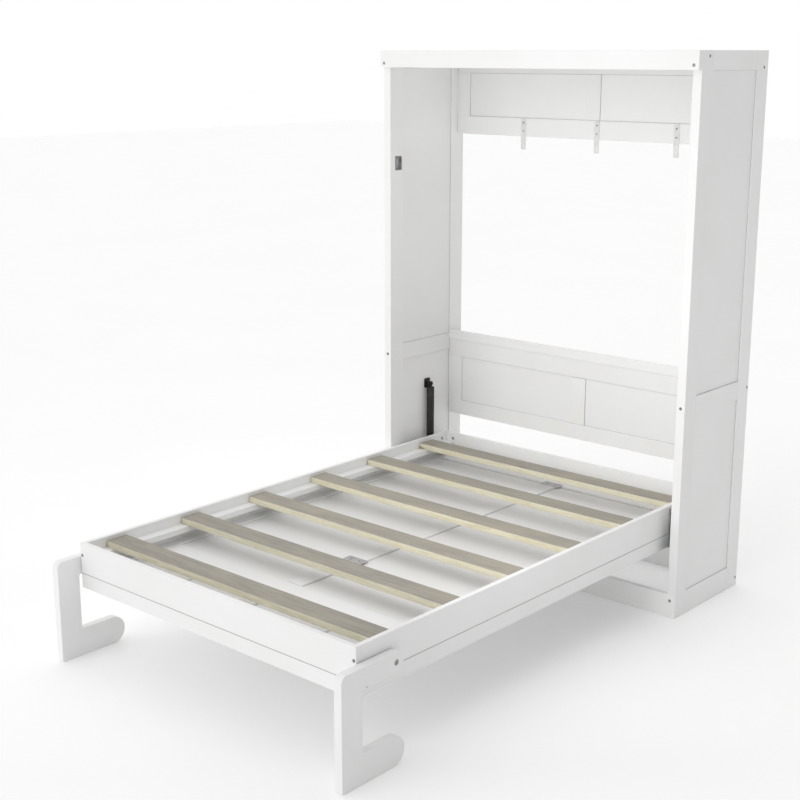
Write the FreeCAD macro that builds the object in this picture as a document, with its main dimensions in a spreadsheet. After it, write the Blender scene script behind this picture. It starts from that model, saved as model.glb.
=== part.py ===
import FreeCAD, Part
import Sketcher
import os
import re

# Murphy wall bed, shown open. Millimetres. The origin is on the floor, at the middle of the
# cabinet's back edge: +X to the right seen from the foot, +Y into the wall, +Z up.

os.makedirs("parts", exist_ok=True)
doc = FreeCAD.newDocument("MurphyWallBed")

# ---- driving dimensions ----
sizes = {
    # cabinet
    "cabinetWidth": 1590, "cabinetDepth": 515, "sideThickness": 38,
    "stileWidth": 86, "sideTopRail": 74, "sideMidRail": 78, "sideMidHeight": 843, "baseRail": 100,
    "sidePanelThickness": 26, "headerHeight": 72, "headerThickness": 24, "crossRailThickness": 22,
    "rearMidRail": 68, "topPanelThickness": 18, "topPanelRecess": 12, "tongueDepth": 8,
    "tongueClearance": 0.3, "edgeRound": 1.6, "foldClearance": 19,
    # upper back, which is screwed to the wall
    "upperBackSetback": 42, "upperBackThickness": 20, "upperBackOpening": 196, "upperBackRail": 82,
    "upperBackTopRail": 70, "upperBackStile": 72, "backPanelThickness": 10,
    "strapWidth": 26, "strapThickness": 2.5, "strapDrop": 58, "strapPitch": 396, "strapOffset": 26,
    "strapHoleRadius": 2.6, "strapHoleDrop": 41, "strapScrewRadius": 2, "strapScrewBite": 14,
    "strapScrewLow": 25, "strapScrewHigh": 62,
    # headboard
    "headboardSetback": 88, "headboardThickness": 20, "headboardBottom": 525, "headboardRail": 70,
    "headboardTopRail": 82, "headboardCap": 42, "headboardCapProud": 3, "headboardPanelHeight": 218,
    "headboardStile": 77,
    # deck of the bed
    "bedLength": 2150, "railGap": 43, "railThickness": 20, "railHeight": 120, "railBottom": 333,
    "skirtHeight": 58, "headGap": 160, "ledgerWidth": 46, "ledgerThickness": 24, "ledgerDrop": 41,
    "slatThickness": 26, "slatWidth": 96, "slatClearance": 4, "slatFootGap": 85, "slatHeadGap": 108,
    "faceThickness": 24, "faceRise": 51, "facePanelThickness": 12, "faceStile": 66, "faceMullion": 60,
    "faceEndRail": 90, "faceCrossRail": 90, "cornerBlock": 40, "cornerBlockLength": 60,
    # pivots of the deck
    "pivotSetback": 102, "pivotDrop": 13, "pivotPinRadius": 8, "pivotPinClearance": 0.05,
    "pivotPlateThickness": 6, "pivotPlateWidth": 90, "pivotPlateInset": 1, "pivotPlateDrop": 12,
    "pivotLug": 24, "pivotWebRise": 59, "pivotScrewInset": 14, "pivotScrewSpread": 32,
    "sidePlateThickness": 5, "sidePlateWidth": 120, "sidePlateHeight": 130, "sidePlateSetback": 8,
    "sidePlateScrewInset": 17, "pivotCollarRadius": 14, "pinHeadRadius": 11, "pinHeadThickness": 8,
    "pinHeadGap": 1,
    # legs
    "legClearance": 7, "legGap": 3, "legPost": 95, "legArm": 70, "legArmDrop": 5, "legFoot": 108,
    "legReach": 253, "legRear": 39, "legInset": 149, "legPivotRadius": 5, "legPivotClearance": 0.08,
    "legCornerRound": 26, "legInnerRound": 9, "legEdgeRound": 2, "legBoltHead": 2.9,
    "legBoltHeadRadius": 10, "legBoltSink": 0.5, "legBoltGap": 0.4, "legWasherRadius": 11,
    "legSocketRadius": 3.5, "legSocketDepth": 1.4,
    # gas struts
    "strutLift": 438, "strutLever": 163, "strutLeverRise": 45, "cylinderRadius": 18,
    "cylinderLength": 312, "cylinderWall": 2.5, "cylinderCap": 4, "cylinderGland": 12, "neckRadius": 6.6,
    "neckLength": 5, "rodRadius": 5, "rodLength": 318, "rodClearance": 0.05, "pistonLength": 9,
    "pistonClearance": 0.06, "eyeRadius": 11, "eyeThickness": 14, "studRadius": 4,
    "studClearance": 0.06, "studShort": 0.6, "studSpare": 2, "studCollarRadius": 8,
    "studCollarGap": 0.5, "strutGap": 1.2, "clipRadius": 6.8, "clipThickness": 3,
    "strutPlateThickness": 4, "strutPlateWidth": 54, "strutPlateHeight": 62, "strutPlateRise": 2,
    "strutScrewInset": 9,
    # fasteners
    "boltRadius": 3, "boltHeadRadius": 6.5, "boltHeadHeight": 3.5, "boltHoleClearance": 0.2,
    "boltLength": 58, "boltBite": 24, "socketRadius": 2.1, "socketDepth": 2.1,
    "headerBoltInset": 22, "headerBoltDrop": 54, "baseBoltInset": 25, "baseBoltRise": 73,
    "topBoltSetback": 54, "rearBoltRise": 36, "footBoltRise": 72, "skirtBoltDrop": 26,
    "camRadius": 7.5, "camDepth": 12, "camSlotRadius": 1.9, "camSlotDepth": 2.4, "camDrop": 26,
    "railCamInset": 34, "headCamInset": 40, "plateScrewRadius": 4, "plateScrewHeight": 1.6,
    # catch in the left side, and plates under the deck
    "catchDrop": 493, "catchMargin": 0.7, "catchWidth": 46, "catchTall": 64, "catchDepth": 14,
    "catchSheet": 3, "joinPlateWidth": 96, "joinPlateLength": 46, "joinPlateThickness": 2,
    "joinPlateStep": 324,
    # how far a cutter runs past the face that it cuts through
    "overcut": 1,
}
slatCount = 6
roughSize = 90
closeEnough = 0.01

sheet = doc.addObject("Spreadsheet::Sheet", "Sheet")
for row, (word, value) in enumerate(sizes.items(), start=1):
    sheet.set("A%d" % row, word)
    sheet.set("B%d" % row, str(value))
    sheet.setAlias("B%d" % row, word)
doc.recompute()

# ---- places worked out from the driving dimensions ----
places = {
    "sideInner": "cabinetWidth / 2 - sideThickness",
    "front": "-cabinetDepth",
    "cabinetHeight": "pivotZ + bedLength - pivotReach + foldClearance + headerHeight",
    "stileBack": "stileWidth - cabinetDepth",
    "sideRailLength": "cabinetDepth - 2 * stileWidth",
    "midTop": "sideMidHeight + sideMidRail",
    "midCentre": "sideMidHeight + sideMidRail / 2",
    "sidePanelInset": "(sideThickness - sidePanelThickness) / 2",
    "topPanelLevel": "cabinetHeight - topPanelRecess - topPanelThickness",
    "topBoltLevel": "cabinetHeight - topPanelRecess - topPanelThickness / 2",
    "upperBackRear": "upperBackThickness - upperBackSetback",
    "upperBackPanelY": "-upperBackSetback + (upperBackThickness - backPanelThickness) / 2",
    "upperBackBottom": "topPanelLevel - upperBackTopRail - upperBackOpening - upperBackRail",
    "headboardPanelY": "-headboardSetback + (headboardThickness - backPanelThickness) / 2",
    "headboardPanelTop": "headboardBottom + headboardRail + headboardPanelHeight",
    "deckHalf": "sideInner - railGap",
    "deckInner": "deckHalf - railThickness",
    "headEnd": "-headGap",
    "footEnd": "-headGap - bedLength",
    "railTop": "railBottom + railHeight",
    "skirtBottom": "railBottom - skirtHeight",
    "faceBottom": "skirtBottom + faceRise",
    "faceTop": "faceBottom + faceThickness",
    "ledgerTop": "railTop - ledgerDrop",
    "ledgerBottom": "ledgerTop - ledgerThickness",
    "ledgerInner": "deckInner - ledgerWidth",
    "deckSpanY": "bedLength - 2 * railThickness",
    "deckFootInner": "footEnd + railThickness",
    "deckHeadInner": "headEnd - railThickness",
    "slatPitch": "(deckSpanY - slatFootGap - slatHeadGap - slatWidth) / %d" % (slatCount - 1),
    "facePanelZ": "faceBottom + (faceThickness - facePanelThickness) / 2",
    "faceCrossLow": "deckFootInner + slatPitch - slatWidth / 2",
    "mullionCentre": "deckHalf / 2",
    "pivotY": "front + pivotSetback",
    "pivotZ": "skirtBottom - pivotDrop",
    "pivotReach": "headEnd - pivotY",
    "legPivotY": "footEnd + legInset",
    "legPivotZ": "railBottom - legArmDrop + legArm / 2",
    "legInnerX": "deckHalf + legGap",
    "legThickness": "railGap - legGap - legClearance",
    "strutX": "deckHalf + pivotPlateThickness + strutGap + cylinderRadius",
    "strutY": "pivotY + strutLever",
    "strutFootZ": "pivotZ + strutLeverRise",
    "strutHeadZ": "pivotZ + strutLift",
    "catchHeight": "cabinetHeight - catchDrop",
    "catchY": "stileBack - tongueDepth - tongueClearance - catchMargin - catchWidth / 2",
}


def formula(words):
    """Turn a formula in plain words into one that reads the sheet's cells."""
    def replace(match):
        word = match.group(0)
        if word in places:
            return "(" + formula(places[word]) + ")"
        if word in sizes:
            return "Sheet." + word
        return word
    return re.sub(r"[a-z][A-Za-z]+", replace, str(words))


def bind(thing, **formulas):
    for path, words in formulas.items():
        thing.setExpression(path.replace("__", "."), formula(words))


def place(thing, x, y, z):
    bind(thing, Placement__Base__x=x, Placement__Base__y=y, Placement__Base__z=z)


subParts = []


def keep(thing, label):
    thing.Label = label
    subParts.append(thing)
    return thing


# ---- wooden boards: a sketched rectangle, a pad and eased edges ----
def rectangleSketch(body, name):
    sketch = body.newObject("Sketcher::SketchObject", name)
    plane = [part for part in body.Origin.OriginFeatures if part.Role == "XY_Plane"][0]
    sketch.AttachmentSupport = [(plane, "")]
    sketch.MapMode = "FlatFace"
    corners = [FreeCAD.Vector(x, y, 0) for x, y in
               ((0, 0), (roughSize, 0), (roughSize, roughSize), (0, roughSize))]
    for index in range(4):
        sketch.addGeometry(Part.LineSegment(corners[index], corners[(index + 1) % 4]))
    for index in range(4):
        sketch.addConstraint(Sketcher.Constraint("Coincident", index, 2, (index + 1) % 4, 1))
    for index in (0, 2):
        sketch.addConstraint(Sketcher.Constraint("Horizontal", index))
    for index in (1, 3):
        sketch.addConstraint(Sketcher.Constraint("Vertical", index))
    sketch.addConstraint(Sketcher.Constraint("Coincident", 0, 1, -1, 1))
    for label, line, kind in (("across", 0, "DistanceX"), ("along", 1, "DistanceY")):
        constraint = sketch.addConstraint(Sketcher.Constraint(kind, line, 1, line, 2, roughSize))
        sketch.renameConstraint(constraint, label)
    return sketch


def board(name, x, y, z, eased=True):
    """A board from its low corner and its size along each axis."""
    body = doc.addObject("PartDesign::Body", name)
    sketch = rectangleSketch(body, name + "Outline")
    sketch.setExpression("Constraints.across", formula(x[1]))
    sketch.setExpression("Constraints.along", formula(y[1]))
    pad = body.newObject("PartDesign::Pad", name + "Pad")
    pad.Profile = sketch
    bind(pad, Length=z[1])
    sketch.Visibility = False
    place(body, x[0], y[0], z[0])
    doc.recompute()
    if eased:
        ease = body.newObject("PartDesign::Fillet", name + "Ease")
        ease.Base = (pad, ["Edge%d" % (index + 1) for index in range(len(pad.Shape.Edges))])
        bind(ease, Radius="edgeRound")
    return body


def mirrored(name, thing):
    mirror = doc.addObject("Part::Mirroring", name)
    mirror.Source = thing
    mirror.Base = FreeCAD.Vector(0, 0, 0)
    mirror.Normal = FreeCAD.Vector(1, 0, 0)
    return mirror


def group(name, things):
    compound = doc.addObject("Part::Compound", name)
    compound.Links = things
    return compound


def pair(name, thing):
    return group(name, [thing, mirrored(name + "Mirror", thing)])


def cut(name, base, tool):
    result = doc.addObject("Part::Cut", name)
    result.Base = base
    result.Tool = tool
    return result


def fuse(name, things):
    result = doc.addObject("Part::MultiFuse", name)
    result.Shapes = things
    result.Refine = True
    return result


def block(name, x, y, z):
    """A plain box from its low corner and its size along each axis."""
    box = doc.addObject("Part::Box", name)
    bind(box, Length=x[1], Width=y[1], Height=z[1])
    place(box, x[0], y[0], z[0])
    return box


def disc(name, along, at, radius, length):
    """A cylinder from at, running length along +X, -X, +Y, -Y or Z."""
    turns = {"X": ((0, 1, 0), 90), "-X": ((0, 1, 0), -90), "Y": ((1, 0, 0), -90),
             "-Y": ((1, 0, 0), 90), "Z": ((0, 0, 1), 0), "-Z": ((1, 0, 0), 180)}
    cylinder = doc.addObject("Part::Cylinder", name)
    axis, angle = turns[along]
    turn = FreeCAD.Rotation(FreeCAD.Vector(*axis), angle)
    cylinder.Placement = FreeCAD.Placement(FreeCAD.Vector(), turn)
    bind(cylinder, Radius=radius, Height=length)
    place(cylinder, *at)
    return cylinder


# ---- bolts, with the holes that take them ----
def boltAndHole(name, along, at, length):
    """A flush bolt whose head's top is at the point given, and the solid that its hole removes."""
    head = "boltHeadHeight"
    steps = {"X": (1, 0, 0), "-X": (-1, 0, 0), "Y": (0, 1, 0), "-Y": (0, -1, 0)}[along]
    under = ["%s + %d * %s" % (start, step, head) for start, step in zip(at, steps)]
    cap = disc(name + "Head", along, at, "boltHeadRadius", head)
    shank = disc(name + "Shank", along, under, "boltRadius", length)
    socket = disc(name + "Socket", along, at, "socketRadius", "socketDepth")
    bolt = cut(name, fuse(name + "Blank", [cap, shank]), socket)
    seat = disc(name + "Seat", along, at, "boltHeadRadius + boltHoleClearance", head)
    bore = disc(name + "Bore", along, under, "boltRadius + boltHoleClearance", length + " + overcut")
    return bolt, fuse(name + "Hole", [seat, bore])


def cabinetBolts():
    """Bolts of the right half: (name, direction, place, shank length)."""
    rearY = "-crossRailThickness / 2"
    rows = [
        ("HeaderBolt", "Y", ("cabinetWidth / 2 - headerBoltInset", "front - headerThickness",
                             "cabinetHeight - headerBoltDrop"), "boltLength"),
        ("MidBolt", "Y", ("cabinetWidth / 2 - sideThickness / 2", "front", "midCentre"),
         "stileWidth + boltLength / 2"),
        ("BaseBolt", "Y", ("cabinetWidth / 2 - baseBoltInset", "front", "baseBoltRise"), "boltLength"),
        ("TopFrontBolt", "-X", ("cabinetWidth / 2", "front + topBoltSetback", "topBoltLevel"),
         "boltLength"),
        ("TopRearBolt", "-X", ("cabinetWidth / 2", "(upperBackRear - upperBackSetback) / 2",
                               "topPanelLevel - upperBackTopRail / 2"), "boltLength"),
        ("RearMidBolt", "-X", ("cabinetWidth / 2", rearY, "midCentre"), "boltLength"),
        ("RearBaseBolt", "-X", ("cabinetWidth / 2", rearY, "rearBoltRise"), "boltLength"),
    ]
    made = [boltAndHole(*row) for row in rows]
    return [bolt for bolt, hole in made], [hole for bolt, hole in made]


# ---- wall straps ----
def wallStraps():
    straps = []
    screws = []
    bores = []
    for index in (-1, 0, 1):
        centre = "strapOffset + %d * strapPitch" % index
        name = "Strap%d" % (index + 1)
        tall = "upperBackRail + strapDrop"
        blank = block(name + "Blank", (centre + " - strapWidth / 2", "strapWidth"),
                      ("-upperBackSetback - strapThickness", "strapThickness"),
                      ("upperBackBottom - strapDrop", tall))
        holes = [disc(name + "Hole%d" % step, "Y",
                      (centre, "-upperBackSetback - strapThickness - overcut", height),
                      "strapHoleRadius", "strapThickness + 2 * overcut")
                 for step, height in enumerate(strapHoleHeights())]
        straps.append(cut(name, blank, group(name + "Holes", holes)))
        for step, height in enumerate(strapHoleHeights()[1:]):
            head = disc(name + "ScrewHead%d" % step, "-Y",
                        (centre, "-upperBackSetback - strapThickness", height),
                        "plateScrewRadius", "plateScrewHeight")
            shank = disc(name + "ScrewShank%d" % step, "Y",
                         (centre, "-upperBackSetback - strapThickness", height),
                         "strapScrewRadius", "strapThickness + strapScrewBite")
            screws.append(fuse(name + "Screw%d" % step, [head, shank]))
            bores.append(disc(name + "ScrewBore%d" % step, "Y",
                              (centre, "-upperBackSetback - overcut", height),
                              "strapScrewRadius", "strapScrewBite + 1.5 * overcut"))
    keep(group("WallStraps", straps), "wall_straps")
    return screws, bores


def strapHoleHeights():
    return ["upperBackBottom - strapHoleDrop", "upperBackBottom + strapScrewLow",
            "upperBackBottom + strapScrewHigh"]


rightBolts, rightHoles = cabinetBolts()
strapScrews, strapBores = wallStraps()
boltHalf = group("CabinetBoltHalf", rightBolts)
holeHalf = group("CabinetHoleHalf", rightHoles)
cabinetHoles = group("CabinetHoles", [holeHalf, mirrored("CabinetHolesLeft", holeHalf)] + strapBores)
keep(group("CabinetFasteners", [boltHalf, mirrored("CabinetBoltsLeft", boltHalf)] + strapScrews),
     "cabinet_fasteners")


def panelAndGroove(name, x, y, z, thin):
    """A panel with a tongue all round, and the slot that its frame is grooved with.

    x, y and z give the opening; thin is the axis of the panel's thickness."""
    spans = {"x": x, "y": y, "z": z}
    panelSpans = []
    slotSpans = []
    for axis, (low, size) in spans.items():
        grow = "0" if axis == thin else "tongueDepth"
        panelSpans.append((low + " - " + grow, size + " + 2 * " + grow))
        slotSpans.append((low + " - " + grow + " - tongueClearance",
                          size + " + 2 * " + grow + " + 2 * tongueClearance"))
    panel = block(name, *panelSpans)
    slot = block(name + "Slot", *slotSpans)
    return panel, slot


# ---- cabinet sides ----
def cabinetSides():
    xSide = ("sideInner", "sideThickness")
    yRail = ("stileBack", "sideRailLength")
    xPanel = ("sideInner + sidePanelInset", "sidePanelThickness")
    upperPanel, upperSlot = panelAndGroove(
        "SideUpperPanel", xPanel, yRail,
        ("midTop", "cabinetHeight - sideTopRail - midTop"), "x")
    lowerPanel, lowerSlot = panelAndGroove(
        "SideLowerPanel", xPanel, yRail, ("baseRail", "sideMidHeight - baseRail"), "x")
    baseNotch = block("BaseRailNotch", ("sideInner - overcut", "sideThickness + 2 * overcut"),
                      ("front - overcut", "crossRailThickness + overcut"),
                      ("-overcut", "baseRail + overcut"))
    work = group("SideWork", [upperSlot, lowerSlot, holeHalf])
    frontWork = group("FrontStileWork", [upperSlot, lowerSlot, baseNotch, holeHalf])
    frontStile = board("FrontStile", xSide, ("front", "stileWidth"), ("0", "cabinetHeight"))
    rearStile = board("RearStile", xSide, ("-stileWidth", "stileWidth"), ("0", "cabinetHeight"))
    rails = {
        "side_top_rails": ("cabinetHeight - sideTopRail", "sideTopRail"),
        "side_mid_rails": ("sideMidHeight", "sideMidRail"),
        "side_bottom_rails": ("0", "baseRail"),
    }
    frontCut = cut("FrontStileCut", frontStile, frontWork)
    catchWork = group("LeftFrontStileWork", [mirrored("FrontStileLeft", frontCut)])
    leftFront = cut("LeftFrontStile", catchWork, catchPocket())
    keep(frontCut, "right_front_stile")
    keep(leftFront, "left_front_stile")
    keep(pair("RearStiles", cut("RearStileCut", rearStile, work)), "rear_stiles")
    for label, span in rails.items():
        rail = board(label.title().replace("_", ""), xSide, yRail, span)
        keep(pair(label + "Pair", cut(label + "Cut", rail, work)), label)
    keep(pair("SideUpperPanels", upperPanel), "side_upper_panels")
    keep(pair("SideLowerPanels", lowerPanel), "side_lower_panels")


def catchPocket():
    return block("CatchPocket", ("-sideInner - catchDepth", "catchDepth + overcut"),
                 ("catchY - catchWidth / 2", "catchWidth"),
                 ("catchHeight - catchTall / 2", "catchTall"))


def catchPlate():
    """The metal cup that lines the pocket in the left side."""
    shell = block("CatchShell", ("-sideInner - catchDepth", "catchDepth"),
                  ("catchY - catchWidth / 2", "catchWidth"),
                  ("catchHeight - catchTall / 2", "catchTall"))
    hollow = block("CatchHollow", ("-sideInner - catchDepth + catchSheet", "catchDepth"),
                   ("catchY - catchWidth / 2 + catchSheet", "catchWidth - 2 * catchSheet"),
                   ("catchHeight - catchTall / 2 + catchSheet", "catchTall - 2 * catchSheet"))
    keep(cut("CatchCup", shell, hollow), "catch_plate")


cabinetSides()
catchPlate()


# ---- header, top and cross rails ----
def crossMembers():
    across = ("-sideInner", "2 * sideInner")
    members = [
        ("header_board", ("-cabinetWidth / 2", "cabinetWidth"),
         ("front - headerThickness", "headerThickness"),
         ("cabinetHeight - headerHeight", "headerHeight")),
        ("top_panel", across, ("front", "cabinetDepth - upperBackSetback + upperBackThickness"),
         ("topPanelLevel", "topPanelThickness")),
        ("front_bottom_rail", ("-cabinetWidth / 2", "cabinetWidth"), ("front", "crossRailThickness"),
         ("0", "baseRail")),
        ("rear_bottom_rail", across, ("-crossRailThickness", "crossRailThickness"), ("0", "baseRail")),
        ("rear_mid_rail", across, ("-crossRailThickness", "crossRailThickness"),
         ("sideMidHeight", "rearMidRail")),
    ]
    for label, x, y, z in members:
        keep(cut(label + "Cut", board(label.title().replace("_", ""), x, y, z), cabinetHoles), label)


crossMembers()


# ---- framed backs: the upper back and the headboard ----
def framedBack(prefix, y, thickness, panelY, low, railLow, opening, topRail, stile):
    """A frame of rails and stiles round two panels, between the cabinet's sides."""
    ySpan = (y, thickness)
    yPanel = (panelY, "backPanelThickness")
    openLow = "%s + %s" % (low, railLow)
    openWidth = "sideInner - %s - %s / 2" % (stile, stile)
    panel, slot = panelAndGroove(prefix + "Panel", (stile + " / 2", openWidth), yPanel,
                                 (openLow, opening), "y")
    slots = group(prefix + "Work", [pair(prefix + "Slots", slot), cabinetHoles])
    across = ("-sideInner", "2 * sideInner")
    outer = board(prefix + "Stile", ("sideInner - " + stile, stile), ySpan, (openLow, opening))
    centre = board(prefix + "Centre", ("-%s / 2" % stile, stile), ySpan, (openLow, opening))
    bottom = board(prefix + "Bottom", across, ySpan, (low, railLow))
    top = board(prefix + "Top", across, ySpan, (openLow + " + " + opening, topRail))
    label = "upper_back" if prefix == "UpperBack" else "headboard"
    keep(cut(prefix + "StileCut", pair(prefix + "Stiles", outer), slots), label + "_side_stiles")
    keep(cut(prefix + "CentreCut", centre, slots), label + "_centre_stile")
    keep(cut(prefix + "BottomCut", bottom, slots), label + "_bottom_rail")
    keep(cut(prefix + "TopCut", top, slots), label + "_top_rail")
    keep(pair(prefix + "Panels", panel), label + "_panels")


framedBack("UpperBack", "-upperBackSetback", "upperBackThickness", "upperBackPanelY",
           "upperBackBottom", "upperBackRail", "upperBackOpening", "upperBackTopRail", "upperBackStile")
framedBack("Headboard", "-headboardSetback", "headboardThickness", "headboardPanelY",
           "headboardBottom", "headboardRail", "headboardPanelHeight", "headboardTopRail",
           "headboardStile")
keep(board("HeadboardCap", ("-sideInner", "2 * sideInner"),
           ("-headboardSetback - headboardCapProud", "headboardThickness + headboardCapProud"),
           ("headboardPanelTop + headboardTopRail", "headboardCap")), "headboard_cap")


# ---- deck: rails, skirts, ledgers and slats ----
def deckBolts():
    """Bolts of the deck's right half."""
    rows = [
        ("FootBolt", "Y", ("deckHalf - railThickness / 2", "footEnd", "railBottom + footBoltRise"),
         "boltLength"),
        ("SkirtBolt", "-X", ("deckHalf", "deckFootInner + cornerBlockLength / 2",
                             "railBottom - skirtBoltDrop"), "railThickness + boltBite"),
    ]
    made = [boltAndHole(*row) for row in rows]
    legBore = disc("LegShankBore", "X", ("deckInner - overcut", "legPivotY", "legPivotZ"),
                   "legPivotRadius + boltHoleClearance", "railThickness + 2 * overcut")
    return [bolt for bolt, hole in made], [hole for bolt, hole in made] + [legBore]


def camLocks():
    """Round cam locks let into the inner faces at the head corners."""
    level = "railTop - camDrop"
    rows = [
        ("RailCam", "X", ("deckInner", "deckHeadInner - railCamInset", level)),
        ("HeadCam", "Y", ("deckInner - headCamInset", "deckHeadInner", level)),
    ]
    cams = []
    seats = []
    for name, along, at in rows:
        cam = disc(name, along, at, "camRadius", "camDepth")
        slot = disc(name + "Slot", along, at, "camSlotRadius", "camSlotDepth")
        cams.append(cut(name + "Cut", cam, slot))
        seats.append(disc(name + "Seat", along, at, "camRadius + boltHoleClearance", "camDepth"))
    return cams, seats


deckBoltList, deckHoleList = deckBolts()
camList, camSeats = camLocks()
deckBoltHalf = group("DeckBoltHalf", deckBoltList + camList)
deckHoleHalf = group("DeckHoleHalf", deckHoleList + camSeats)
deckHoles = pair("DeckHoles", deckHoleHalf)


def deckFrame():
    xRail = ("deckInner", "railThickness")
    ySide = ("deckFootInner", "deckSpanY")
    across = ("-deckHalf", "2 * deckHalf")
    yFoot = ("footEnd", "railThickness")
    yHead = ("deckHeadInner", "railThickness")
    zRail = ("railBottom", "railHeight")
    zSkirt = ("skirtBottom", "skirtHeight")
    rail = cut("RightRailCut", board("RightRail", xRail, ySide, zRail), deckHoleHalf)
    keep(rail, "right_side_rail")
    keep(mirrored("LeftRail", rail), "left_side_rail")
    keep(cut("FootRailCut", board("FootRail", across, yFoot, zRail), deckHoles), "foot_rail")
    keep(cut("HeadRailCut", board("HeadRail", across, yHead, zRail), deckHoles), "head_rail")
    skirt = cut("SideSkirtCut", board("SideSkirt", xRail, ySide, zSkirt), deckHoleHalf)
    keep(pair("SideSkirts", skirt), "side_skirts")
    keep(group("EndSkirts", [board("FootSkirt", across, yFoot, zSkirt),
                             board("HeadSkirt", across, yHead, zSkirt)]), "end_skirts")
    ledger = board("Ledger", ("ledgerInner", "ledgerWidth"), ySide, ("ledgerBottom", "ledgerThickness"))
    keep(pair("Ledgers", ledger), "slat_ledgers")
    blocks = []
    for name, low in (("FootBlock", "deckFootInner"), ("HeadBlock", "deckHeadInner - cornerBlockLength")):
        blocks.append(board(name, ("deckInner - cornerBlock", "cornerBlock"), (low, "cornerBlockLength"),
                            ("faceTop", "ledgerBottom - faceTop")))
    blockHalf = cut("CornerBlockHalf", group("CornerBlockBlanks", blocks), deckHoleHalf)
    keep(pair("CornerBlocks", blockHalf), "corner_blocks")


def slats():
    span = ("slatClearance - deckInner", "2 * deckInner - 2 * slatClearance")
    for index in range(slatCount):
        low = "deckFootInner + slatFootGap + %d * slatPitch" % index
        keep(board("Slat%d" % (index + 1), span, (low, "slatWidth"), ("ledgerTop", "slatThickness")),
             "slat_%d" % (index + 1))


def faceFrame():
    """The underside, which is the cabinet's front when the bed is shut."""
    zFrame = ("faceBottom", "faceThickness")
    zPanel = ("facePanelZ", "facePanelThickness")
    stile = ("ledgerInner", "ledgerWidth")
    shortOpen = "faceCrossLow - deckFootInner - faceEndRail"
    yShort = ("deckFootInner + faceEndRail", shortOpen)
    longLow = "faceCrossLow + faceCrossRail"
    longOpen = "deckHeadInner - faceEndRail - faceCrossLow - faceCrossRail"
    longPanel, longSlot = panelAndGroove("LongPanel", ("faceStile / 2", "ledgerInner - faceStile / 2"),
                                         (longLow, longOpen), zPanel, "z")
    mullionLow = "mullionCentre - faceMullion / 2"
    innerPanel, innerSlot = panelAndGroove(
        "InnerShortPanel", ("faceStile / 2", mullionLow + " - faceStile / 2"), yShort, zPanel, "z")
    outerPanel, outerSlot = panelAndGroove(
        "OuterShortPanel", ("mullionCentre + faceMullion / 2",
                            "ledgerInner - mullionCentre - faceMullion / 2"), yShort, zPanel, "z")
    slots = pair("FaceWork", group("FaceSlotHalf", [longSlot, innerSlot, outerSlot]))
    sideStile = board("FaceSideStile", stile, ("deckFootInner", "deckSpanY"), zFrame)
    endAcross = ("-ledgerInner", "2 * ledgerInner")
    ends = group("FaceEndRails", [
        board("FaceFootRail", endAcross, ("deckFootInner", "faceEndRail"), zFrame),
        board("FaceHeadRail", endAcross, ("deckHeadInner - faceEndRail", "faceEndRail"), zFrame)])
    centreShort = board("FaceCentreFoot", ("-faceStile / 2", "faceStile"), yShort, zFrame)
    centreLong = board("FaceCentreHead", ("-faceStile / 2", "faceStile"), (longLow, longOpen), zFrame)
    cross = board("FaceCrossRail", endAcross, ("faceCrossLow", "faceCrossRail"), zFrame)
    mullion = board("FaceMullion", (mullionLow, "faceMullion"), yShort, zFrame)
    work = [
        ("face_side_stiles", pair("FaceSideStiles", sideStile)),
        ("face_end_rails", ends),
        ("face_centre_stiles", group("FaceCentreStiles", [centreShort, centreLong])),
        ("face_cross_rail", cross),
        ("face_mullions", pair("FaceMullions", mullion)),
    ]
    for label, blank in work:
        keep(cut(label + "Cut", blank, slots), label)
    keep(pair("FaceLongPanels", longPanel), "face_long_panels")
    keep(pair("FaceShortPanels", group("ShortPanelHalf", [innerPanel, outerPanel])), "face_short_panels")


def joiningPlates():
    """Flat plates that tie the underside's joints together, each with its screws' heads."""
    plates = []
    for index, middle in enumerate(("faceCrossLow + faceCrossRail + joinPlateStep",
                                    "deckHeadInner - faceEndRail")):
        name = "JoinPlate%d" % (index + 1)
        sheetMetal = block(name + "Sheet", ("-joinPlateWidth / 2", "joinPlateWidth"),
                           (middle + " - joinPlateLength / 2", "joinPlateLength"),
                           ("faceTop", "joinPlateThickness"))
        heads = []
        for side in (-1, 1):
            heads.append(disc(name + "Head%d" % (side + 1), "Z",
                              ("%d * faceStile / 3" % side, middle, "faceTop + joinPlateThickness"),
                              "plateScrewRadius", "plateScrewHeight"))
        plates.append(fuse(name, [sheetMetal] + heads))
    keep(group("JoiningPlates", plates), "joining_plates")


deckFrame()
slats()
faceFrame()
joiningPlates()


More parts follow.
